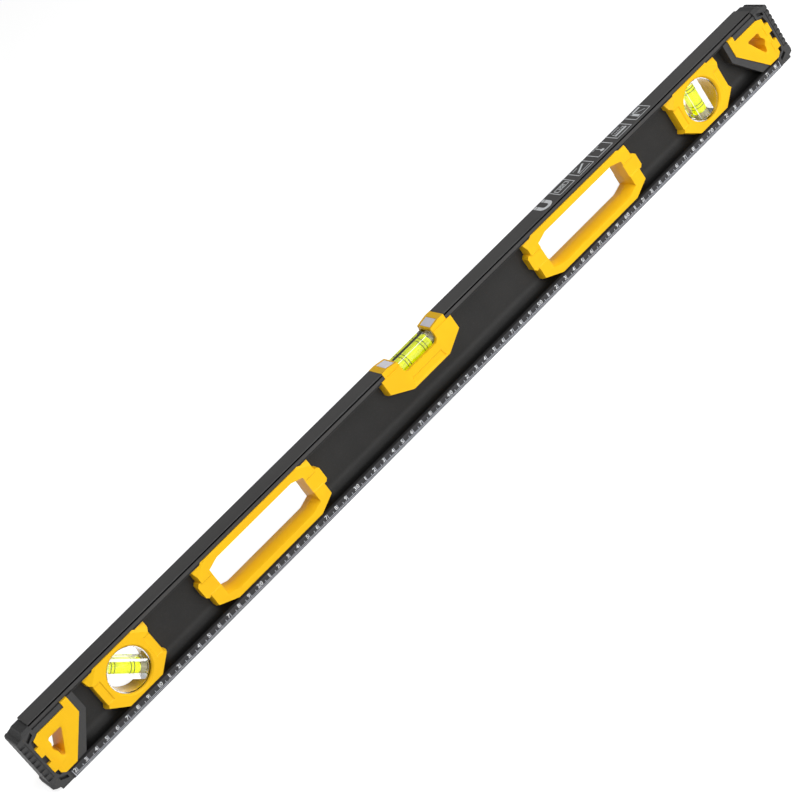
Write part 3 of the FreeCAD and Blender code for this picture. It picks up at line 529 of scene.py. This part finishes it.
def ink_material(name, ink, roughness=0.5):
    """Print on the coat, slightly uneven."""
    material, tree, shader = new_material(name)
    cloud = variation(tree, 0.0012)
    feed(tree, mix(tree, cloud, Vector(ink), Vector(ink) * 0.8), shader.inputs["Base Color"])
    shader.inputs["Roughness"].default_value = roughness
    return material


def ring_material(name):
    return ink_material(name, (0.035, 0.05, 0.01), 0.4)


def tick_material(name):
    return ink_material(name, settings().print.tick_colour)


def figure_material(name):
    return ink_material(name, settings().print.figure_colour)


def nickel_material(name):
    """Nickel plating with turned marks."""
    material, tree, shader = new_material(name)
    nickel = Vector(settings().finish.magnet_colour)
    texture = grain(tree, 0.0009, 0.5)
    feed(tree, mix(tree, texture.outputs["Height"], nickel, nickel * 0.85), shader.inputs["Base Color"])
    shader.inputs["Metallic"].default_value = 1.0
    feed(tree, map_range(tree, texture.outputs["Height"], 0.3, 0.7, 0.2, 0.38), shader.inputs["Roughness"])
    return material


# Making pieces

def finished(name, mesh_data, material, replaced=()):
    """Turns a bmesh into a shown piece that rides on the level."""
    mesh = bpy.data.meshes.new(name)
    mesh_data.to_mesh(mesh)
    mesh_data.free()
    mesh.polygons.foreach_set("use_smooth", [True] * len(mesh.polygons))
    mesh.set_sharp_from_angle(angle=SMOOTH)
    mesh.materials.append(material)
    piece = bpy.data.objects.new(name, mesh)
    bpy.context.scene.collection.objects.link(piece)
    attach(piece, BODY)
    if replaced:
        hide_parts(*replaced)
    return piece


def welded_copy(node):
    """A node's solid as one closed bmesh with its flat faces whole."""
    solid = bmesh.new()
    solid.from_mesh(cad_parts[node].data)
    bmesh.ops.remove_doubles(solid, verts=solid.verts, dist=WELD)
    bmesh.ops.dissolve_limit(solid, angle_limit=FLAT, verts=solid.verts, edges=solid.edges)
    return solid


def rounded_copy(node, name, radius, material, segments=2):
    """A node's solid with its sharp edges rounded."""
    solid = welded_copy(node)
    sharp = [edge for edge in solid.edges if edge.is_manifold and edge.calc_face_angle(0.0) > SHARP]
    bmesh.ops.bevel(solid, geom=sharp, offset=radius, offset_type="OFFSET", segments=segments,
                    profile=0.5, affect="EDGES", clamp_overlap=True, material=-1)
    bmesh.ops.triangulate(solid, faces=[face for face in solid.faces if len(face.verts) > 4])
    piece = finished(name, solid, material, [node])
    shading = piece.modifiers.new("Even shading", "WEIGHTED_NORMAL")
    shading.keep_sharp = True
    return piece


# Operators, one for each group of like pieces

class LEVEL_OT_profile(bpy.types.Operator):
    """Dress the aluminium profile in its powder coat"""

    bl_idname = "spirit_level.profile"
    bl_label = "Coated Profile"

    def execute(self, context):
        edge = settings().finish.profile_edge
        coat = shared("powder_coat", coat_material)
        rounded_copy("profile", "profile_coated", edge, coat, 1)
        return {"FINISHED"}


class LEVEL_OT_grips(bpy.types.Operator):
    """Dress the four halves of the finger grips"""

    bl_idname = "spirit_level.grips"
    bl_label = "Finger Grips"

    def execute(self, context):
        for end in ENDS:
            for face in FACES:
                mould(f"grip_{face}_{end}")
        return {"FINISHED"}


class LEVEL_OT_vial_housings(bpy.types.Operator):
    """Dress the housings of the end vials"""

    bl_idname = "spirit_level.vial_housings"
    bl_label = "Vial Housings"

    def execute(self, context):
        for end in ENDS:
            for face in FACES:
                mould(f"vial_housing_{face}_{end}")
        return {"FINISHED"}


class LEVEL_OT_centre_housing(bpy.types.Operator):
    """Dress the housing of the top vial and its sight plates"""

    bl_idname = "spirit_level.centre_housing"
    bl_label = "Centre Housing"

    def execute(self, context):
        white = shared("white_plastic", white_material)
        edge = settings().finish.mould_edge
        for face in FACES:
            mould(f"centre_housing_{face}")
        for end in ENDS:
            rounded_copy(f"sight_plate_{end}", f"sight_plate_{end}_gloss", edge / 2, white)
        return {"FINISHED"}


def mould(node):
    yellow = shared("yellow_plastic", yellow_material)
    rounded_copy(node, f"{node}_moulding", settings().finish.mould_edge, yellow)


class LEVEL_OT_ends(bpy.types.Operator):
    """Dress the end caps and the hang-hole inserts"""

    bl_idname = "spirit_level.ends"
    bl_label = "Caps and Inserts"

    def execute(self, context):
        rubber = shared("cap_rubber", rubber_material)
        edge = settings().finish.cap_edge
        for end in ENDS:
            rounded_copy(f"end_cap_{end}", f"end_cap_{end}_rubber", edge, rubber)
            mould(f"hang_insert_{end}")
        return {"FINISHED"}


class LEVEL_OT_magnets(bpy.types.Operator):
    """Dress the magnets in the working face"""

    bl_idname = "spirit_level.magnets"
    bl_label = "Magnets"

    def execute(self, context):
        nickel = shared("magnet_nickel", nickel_material)
        edge = settings().finish.magnet_edge
        for number in range(1, 5):
            rounded_copy(f"magnet_{number}", f"magnet_{number}_plated", edge, nickel)
        return {"FINISHED"}


class LEVEL_OT_vials(bpy.types.Operator):
    """Fill the clear blocks with fluid, bubble, rings and plug"""

    bl_idname = "spirit_level.vials"
    bl_label = "Vials"

    def execute(self, context):
        sizes = settings().vials
        make_vial("centre", 0, sizes.centre_span, sizes.centre_shift)
        make_vial("miter", 45, sizes.end_span, sizes.end_shift)
        make_vial("plumb", 90, sizes.end_span, sizes.end_shift)
        return {"FINISHED"}


def vial_pose(name, degrees):
    """From a vial drawn along X, plug end at +X, to its place on the level."""
    carrier = "vial_block_centre" if name == "centre" else f"vial_lens_{name}"
    low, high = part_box(carrier)
    return Matrix.Translation((low + high) / 2) @ Matrix.Rotation(math.radians(degrees), 4, "Y")


def vial_reach(name, degrees):
    """Where the fluid and the plug start and end along the vial's own axis."""
    pose = vial_pose(name, degrees).inverted()
    found = {}
    for kind in ("fluid", "plug"):
        points = [pose @ vertex.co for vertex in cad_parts[f"vial_{kind}_{name}"].data.vertices]
        found[kind] = (min(point.x for point in points), max(point.x for point in points))
    bore = max(abs(point.y) for point in points)
    return found["fluid"], found["plug"], bore


def barrel(start, end, radius, edge=0.0, sides=64):
    """A closed rod along X with rounded ends."""
    rod = bmesh.new()
    bmesh.ops.create_cone(rod, cap_ends=True, segments=sides, radius1=radius, radius2=radius,
                          depth=end - start)
    turn = Matrix.Translation(((start + end) / 2, 0, 0)) @ Matrix.Rotation(math.pi / 2, 4, "Y")
    bmesh.ops.transform(rod, matrix=turn, verts=rod.verts)
    if edge:
        rims = [item for item in rod.edges if item.calc_face_angle(0.0) > SHARP]
        bmesh.ops.bevel(rod, geom=rims, offset=edge, offset_type="OFFSET", segments=3,
                        profile=0.5, affect="EDGES", clamp_overlap=True, material=-1)
    return rod


def ring(place, width, inner, outer, sides=64):
    """A closed ring round X with a rectangular section."""
    band = bmesh.new()
    left, right = place - width / 2, place + width / 2
    outline = ((left, inner), (right, inner), (right, outer), (left, outer))
    corners = [band.verts.new((x, 0, z)) for x, z in outline]
    section = [band.edges.new((corners[step - 1], corners[step])) for step in range(4)]
    bmesh.ops.spin(band, geom=corners + section, angle=math.tau, steps=sides,
                   axis=(1, 0, 0), cent=(0, 0, 0), use_merge=True)
    bmesh.ops.recalc_face_normals(band, faces=band.faces)
    return band


def joined(parts):
    """Several bmeshes as one."""
    whole = bmesh.new()
    for part in parts:
        mesh = bpy.data.meshes.new("part")
        part.to_mesh(mesh)
        part.free()
        whole.from_mesh(mesh)
        bpy.data.meshes.remove(mesh)
    return whole


def moved(solid, matrix):
    bmesh.ops.transform(solid, matrix=matrix, verts=solid.verts)
    return solid


def make_vial(name, degrees, span, shift):
    sizes = settings().vials
    pose = vial_pose(name, degrees)
    fluid, plug, bore = vial_reach(name, degrees)
    clear = shared("clear_acrylic", clear_material)
    edge = settings().finish.vial_edge
    rounded_copy(f"vial_block_{name}", f"vial_block_{name}_clear", edge, clear)
    if name != "centre":
        lens = shared("lens_acrylic", lens_material)
        rounded_copy(f"vial_lens_{name}", f"vial_lens_{name}_clear", edge, lens)

    reach = sizes.overlap
    body = barrel(fluid[0] - reach, fluid[1] - reach, bore + reach, sizes.fluid_edge)
    finished(f"vial_fluid_{name}_lime", moved(body, pose), shared("dyed_fluid_painted_glow", fluid_material),
             [f"vial_fluid_{name}"])
    stopper = barrel(plug[0], plug[1], bore + reach, sizes.plug_edge)
    finished(f"vial_plug_{name}_pale", moved(stopper, pose), shared("pale_plug", plug_material),
             [f"vial_plug_{name}"])

    middle = -shift
    places = [middle + side * (span / 2 + step * sizes.pair_pitch / 2)
              for side in (-1, 1) for step in (-1, 1)]
    inner, outer = bore + reach * 2, bore + sizes.ring_depth
    rings = joined([ring(place, sizes.ring_width, inner, outer) for place in places])
    finished(f"vial_rings_{name}", moved(rings, pose), shared("ring_ink", ring_material))

    bubble = bmesh.new()
    bmesh.ops.create_uvsphere(bubble, u_segments=48, v_segments=24, radius=1.0)
    along = sizes.bubble_run if name == "centre" else fluid[0] + sizes.bubble_half + sizes.bubble_gap
    half_sizes = (sizes.bubble_half, sizes.bubble_radius, sizes.bubble_depth * sizes.bubble_flat, 1)
    shape = Matrix.Translation((along, 0, bore - sizes.bubble_depth)) @ Matrix.Diagonal(half_sizes)
    air = shared("bubble_air", bubble_material)
    finished(f"vial_bubble_{name}", moved(moved(bubble, shape), pose), air)


class LEVEL_OT_ruler(bpy.types.Operator):
    """Print the ruler along the front of the bottom flange"""

    bl_idname = "spirit_level.ruler"
    bl_label = "Ruler"

    def execute(self, context):
        sizes = settings().print
        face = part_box("profile")[0].y
        ticks = bmesh.new()
        first = math.ceil((-sizes.ruler_end - sizes.ruler_zero) * 1000 + 0.5)
        last = math.floor((sizes.ruler_end - sizes.ruler_zero) * 1000 - 0.5)
        for count in range(first, last + 1):
            top, width = sizes.short_tick, sizes.tick_width
            if count % 10 == 0:
                top, width = sizes.long_tick, sizes.long_width
            elif count % 5 == 0:
                top = sizes.middle_tick
            front_bar(ticks, sizes.ruler_zero + count / 1000, face, width, sizes.ruler_foot, top)
        for side in (-1, 1):
            end = side * sizes.ruler_end
            front_bar(ticks, end, face, sizes.long_width, sizes.ruler_foot, sizes.long_tick)
        finished("ruler_ticks", ticks, shared("tick_ink", tick_material))

        figures = {text: figure_mesh(text, sizes.digit_height) for text in "0123456789"}
        row = bmesh.new()
        upright = Matrix.Rotation(math.pi / 2, 4, "X")
        for count in range(sizes.first_number, sizes.last_number + 1):
            tick = sizes.ruler_zero + count / 100
            tens, unit = divmod(count, 10)
            before, after = (str(tens), "0") if unit == 0 else (str(unit), "")
            place = tick - sizes.digit_gap - figures[before][1]
            put_figure(row, figures[before][0], upright, place, face, sizes)
            if after:
                put_figure(row, figures[after][0], upright, tick + sizes.digit_gap, face, sizes)
        finished("ruler_figures", row, shared("figure_ink", figure_material))
        return {"FINISHED"}


def front_bar(target, along, face, width, low, high):
    """A printed bar on the ruler face."""
    lift = settings().print.thickness
    middle = Matrix.Translation((along, face, (low + high) / 2))
    shape = middle @ Matrix.Diagonal((width, lift * 2, high - low, 1))
    bmesh.ops.create_cube(target, size=1.0, matrix=shape)


def figure_mesh(text, height):
    """A figure standing on its foot at the origin, and its width."""
    font_size, weight = height * 1.42, height * 0.022
    curve = bpy.data.curves.new("figure", "FONT")
    curve.body = text
    curve.size = font_size
    curve.offset = weight
    curve.extrude = settings().print.thickness
    curve.resolution_u = 3
    holder = bpy.data.objects.new("figure", curve)
    mesh = bpy.data.meshes.new_from_object(holder)
    bpy.data.objects.remove(holder)
    bpy.data.curves.remove(curve)
    left = min(vertex.co.x for vertex in mesh.vertices)
    foot = min(vertex.co.y for vertex in mesh.vertices)
    top = max(vertex.co.y for vertex in mesh.vertices)
    fit = height / (top - foot)
    mesh.transform(Matrix.Diagonal((fit, fit, 1, 1)) @ Matrix.Translation((-left, -foot, 0)))
    return mesh, max(vertex.co.x for vertex in mesh.vertices)


def put_figure(target, mesh, upright, along, face, sizes):
    before = len(target.verts)
    target.from_mesh(mesh)
    target.verts.ensure_lookup_table()
    added = target.verts[before:]
    place = Matrix.Translation((along, face, sizes.digit_foot)) @ upright
    bmesh.ops.transform(target, matrix=place, verts=added)


class LEVEL_OT_symbols(bpy.types.Operator):
    """Print plain symbols on the top face"""

    bl_idname = "spirit_level.symbols"
    bl_label = "Symbols"

    def execute(self, context):
        sizes = settings().print
        ink = bmesh.new()
        draw_magnet(ink, sizes.magnet_symbol)
        for index, drawing in enumerate((draw_bubble, draw_slope, draw_plumb, draw_rule, draw_corner)):
            place = sizes.first_symbol + index * sizes.symbol_pitch
            draw_box(ink, place)
            drawing(ink, place)
        finished("top_symbols", ink, shared("figure_ink", figure_material))
        return {"FINISHED"}


def top_bar(target, along, across, long_side, short_side, turn=0.0):
    """A printed bar on the top face."""
    lift = settings().print.thickness
    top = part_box("profile")[1].z
    shape = (Matrix.Translation((along, across, top)) @ Matrix.Rotation(math.radians(turn), 4, "Z")
             @ Matrix.Diagonal((long_side, short_side, lift * 2, 1)))
    bmesh.ops.create_cube(target, size=1.0, matrix=shape)


def top_ring(target, along, across, radius, line, sweep=360.0, start=0.0):
    """A printed ring or arc on the top face."""
    lift = settings().print.thickness
    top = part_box("profile")[1].z
    arc = bmesh.new()
    corners = [(radius - line, -lift), (radius, -lift), (radius, lift), (radius - line, lift)]
    made = [arc.verts.new((x, 0, z)) for x, z in corners]
    section = [arc.edges.new((made[step - 1], made[step])) for step in range(4)]
    bmesh.ops.rotate(arc, verts=made, cent=(0, 0, 0), matrix=Matrix.Rotation(math.radians(start), 3, "Z"))
    bmesh.ops.spin(arc, geom=made + section, angle=math.radians(sweep), steps=24,
                   axis=(0, 0, 1), cent=(0, 0, 0), use_merge=sweep >= 360)
    bmesh.ops.holes_fill(arc, edges=[edge for edge in arc.edges if edge.is_boundary])
    bmesh.ops.recalc_face_normals(arc, faces=arc.faces)
    mesh = bpy.data.meshes.new("arc")
    bmesh.ops.transform(arc, matrix=Matrix.Translation((along, across, top)), verts=arc.verts)
    arc.to_mesh(mesh)
    arc.free()
    target.from_mesh(mesh)
    bpy.data.meshes.remove(mesh)


def draw_box(ink, place):
    """The frame round a symbol."""
    sizes = settings().print
    line, middle = sizes.symbol_line, sizes.box_middle
    for side in (-1, 1):
        top_bar(ink, place + side * sizes.symbol_width / 2, middle, line, sizes.symbol_depth + line)
        top_bar(ink, place, middle + side * sizes.symbol_depth / 2, sizes.symbol_width, line)


def draw_magnet(ink, place):
    """A horseshoe magnet, its poles toward the back."""
    radius, thick, leg = 0.006, 0.0034, 0.0043
    top_ring(ink, place, -0.001, radius, thick, 180, 180)
    for side in (-1, 1):
        top_bar(ink, place + side * leg, 0.0018, thick, 0.0056)
        top_bar(ink, place + side * leg, 0.0067, thick, 0.0026)


def draw_bubble(ink, place):
    """A lying vial with its bubble between two lines."""
    line, middle = settings().print.symbol_line, settings().print.box_middle
    wide, high = 0.0124, 0.0052
    for side in (-1, 1):
        top_bar(ink, place, middle + side * high / 2, wide, line)
        top_bar(ink, place + side * wide / 2, middle, line, high)
        top_bar(ink, place + side * high / 2, middle, line, high)
    top_ring(ink, place, middle, 0.0018, line)


def draw_slope(ink, place):
    """A level on a slope over flat ground."""
    line, middle = settings().print.symbol_line, settings().print.box_middle
    wide = 0.0124
    top_bar(ink, place, middle - 0.0046, wide, line)
    top_bar(ink, place, middle + 0.0004, wide, 0.0018, 32)
    top_bar(ink, place - 0.003, middle + 0.0042, 0.005, line)


def draw_plumb(ink, place):
    """A plumb bob on its line."""
    line, middle = settings().print.symbol_line, settings().print.box_middle
    bob = 0.0018
    top_bar(ink, place, middle + 0.002, line, 0.0076)
    top_bar(ink, place, middle + 0.0056, 0.007, line)
    top_ring(ink, place, middle - 0.0034, bob, bob)


def draw_rule(ink, place):
    """A rule with its ticks."""
    line, middle = settings().print.symbol_line, settings().print.box_middle
    pitch, long_tick, short_tick = 0.0018, 0.0026, 0.0016
    top_bar(ink, place, middle - 0.0028, 0.0124, 0.0022)
    for step in range(-3, 4):
        tick = long_tick if step % 3 == 0 else short_tick
        top_bar(ink, place + step * pitch, middle + 0.0004, line, tick)
    top_bar(ink, place, middle + 0.0046, 0.0088, line)


def draw_corner(ink, place):
    """A square corner with a slanted line across it."""
    middle = settings().print.box_middle
    top_bar(ink, place - 0.003, middle - 0.0004, 0.0026, 0.0108)
    top_bar(ink, place + 0.0012, middle + 0.0042, 0.0104, 0.0022)
    top_bar(ink, place + 0.0022, middle - 0.0014, 0.0086, 0.0006, -42)


class LEVEL_OT_stage(bpy.types.Operator):
    """Set up camera, floor and soft light"""

    bl_idname = "spirit_level.stage"
    bl_label = "Stage"

    def execute(self, context):
        stage = settings().stage
        make_camera(stage)
        make_floor(stage)
        make_world(stage)
        make_lights(stage)
        context.scene.view_settings.view_transform = "Standard"
        return {"FINISHED"}


def make_camera(stage):
    data = bpy.data.cameras.new("photo_view")
    data.lens = stage.lens
    data.sensor_width = 36
    data.clip_end = 50
    camera = bpy.data.objects.new("photo_view", data)
    turn = (Matrix.Rotation(-stage.azimuth, 4, "Z") @ Matrix.Rotation(math.pi / 2 - stage.elevation, 4, "X")
            @ Matrix.Rotation(stage.roll, 4, "Z"))
    camera.matrix_world = Matrix.Translation(Vector(stage.place)) @ turn
    bpy.context.scene.collection.objects.link(camera)
    bpy.context.scene.camera = camera


def make_floor(stage):
    plane = bmesh.new()
    bmesh.ops.create_grid(plane, x_segments=1, y_segments=1, size=stage.floor_size / 2)
    mesh = bpy.data.meshes.new("floor")
    plane.to_mesh(mesh)
    plane.free()
    floor = bpy.data.objects.new("floor", mesh)
    floor.location.z = -FLOOR_GAP
    bpy.context.scene.collection.objects.link(floor)
    material, tree, shader = new_material("pale_floor")
    tree.nodes.remove(shader)
    paper = tree.nodes.new("ShaderNodeBsdfDiffuse")
    paper.inputs["Color"].default_value = (stage.floor_grey, stage.floor_grey, stage.floor_grey, 1.0)
    glow = tree.nodes.new("ShaderNodeEmission")
    path = tree.nodes.new("ShaderNodeLightPath")
    shown = maths(tree, "MULTIPLY", seen_directly(tree, path), stage.floor_glow)
    feed(tree, shown, glow.inputs["Strength"])
    both = tree.nodes.new("ShaderNodeAddShader")
    feed(tree, paper.outputs[0], both.inputs[0])
    feed(tree, glow.outputs[0], both.inputs[1])
    feed(tree, both.outputs[0], tree.nodes["Material Output"].inputs["Surface"])
    mesh.materials.append(material)


def make_world(stage):
    """White low down, as a studio's walls are, dim overhead, and weaker as light than as a sight."""
    world = bpy.data.worlds.new("studio")
    world.use_nodes = True
    tree = world.node_tree
    direction = tree.nodes.new("ShaderNodeSeparateXYZ")
    feed(tree, tree.nodes.new("ShaderNodeTexCoord").outputs["Generated"], direction.inputs["Vector"])
    rise = direction.outputs["Z"]
    level = map_range(tree, rise, stage.dim_from, stage.dim_to, stage.horizon, stage.zenith)
    light = maths(tree, "MULTIPLY", level, stage.ambient)
    path = tree.nodes.new("ShaderNodeLightPath")
    strength = tree.nodes.new("ShaderNodeMix")
    feed(tree, seen_directly(tree, path), strength.inputs["Factor"])
    feed(tree, light, strength.inputs["A"])
    feed(tree, level, strength.inputs["B"])
    feed(tree, strength.outputs["Result"], tree.nodes["Background"].inputs["Strength"])
    tree.nodes["Background"].inputs["Color"].default_value = (1.0, 1.0, 1.0, 1.0)
    bpy.context.scene.world = world


def seen_directly(tree, path):
    """One for the camera's rays and for those through and off gloss."""
    bounced = maths(tree, "MAXIMUM", path.outputs["Is Glossy Ray"], path.outputs["Is Transmission Ray"])
    return maths(tree, "MAXIMUM", path.outputs["Is Camera Ray"], bounced)


def make_lights(stage):
    add_light("key", stage.key_place, stage.key_size, stage.key_power)
    add_light("top", stage.top_place, stage.top_size, stage.top_power)


def add_light(name, place, size, power):
    """A soft box that faces the level."""
    data = bpy.data.lights.new(name, "AREA")
    data.shape = "RECTANGLE"
    data.size, data.size_y = size
    data.energy = power
    lamp = bpy.data.objects.new(name, data)
    lamp.location = place
    lamp.rotation_euler = (-Vector(place)).to_track_quat("-Z", "Y").to_euler()
    bpy.context.scene.collection.objects.link(lamp)


class LEVEL_PT_panel(bpy.types.Panel):
    """Lists the steps that build the level"""

    bl_idname = "LEVEL_PT_panel"
    bl_label = "Spirit Level"
    bl_space_type = "VIEW_3D"
    bl_region_type = "UI"
    bl_category = "Spirit Level"

    def draw(self, context):
        for step in STEPS:
            self.layout.operator(step.bl_idname)


STEPS = (
    LEVEL_OT_profile,
    LEVEL_OT_grips,
    LEVEL_OT_vial_housings,
    LEVEL_OT_centre_housing,
    LEVEL_OT_ends,
    LEVEL_OT_magnets,
    LEVEL_OT_vials,
    LEVEL_OT_ruler,
    LEVEL_OT_symbols,
    LEVEL_OT_stage,
)
CLASSES = (LevelFinish, LevelPrint, LevelVials, LevelStage, LevelSettings, *STEPS, LEVEL_PT_panel)


def register():
    for item in CLASSES:
        bpy.utils.register_class(item)
    bpy.types.Scene.spirit_level = PointerProperty(type=LevelSettings)


def unregister():
    del bpy.types.Scene.spirit_level
    for item in reversed(CLASSES):
        bpy.utils.unregister_class(item)


def main():
    register()
    bpy.ops.spirit_level.profile()
    bpy.ops.spirit_level.grips()
    bpy.ops.spirit_level.vial_housings()
    bpy.ops.spirit_level.centre_housing()
    bpy.ops.spirit_level.ends()
    bpy.ops.spirit_level.magnets()
    bpy.ops.spirit_level.vials()
    bpy.ops.spirit_level.ruler()
    bpy.ops.spirit_level.symbols()
    bpy.ops.spirit_level.stage()


if __name__ == "__main__":
    main()
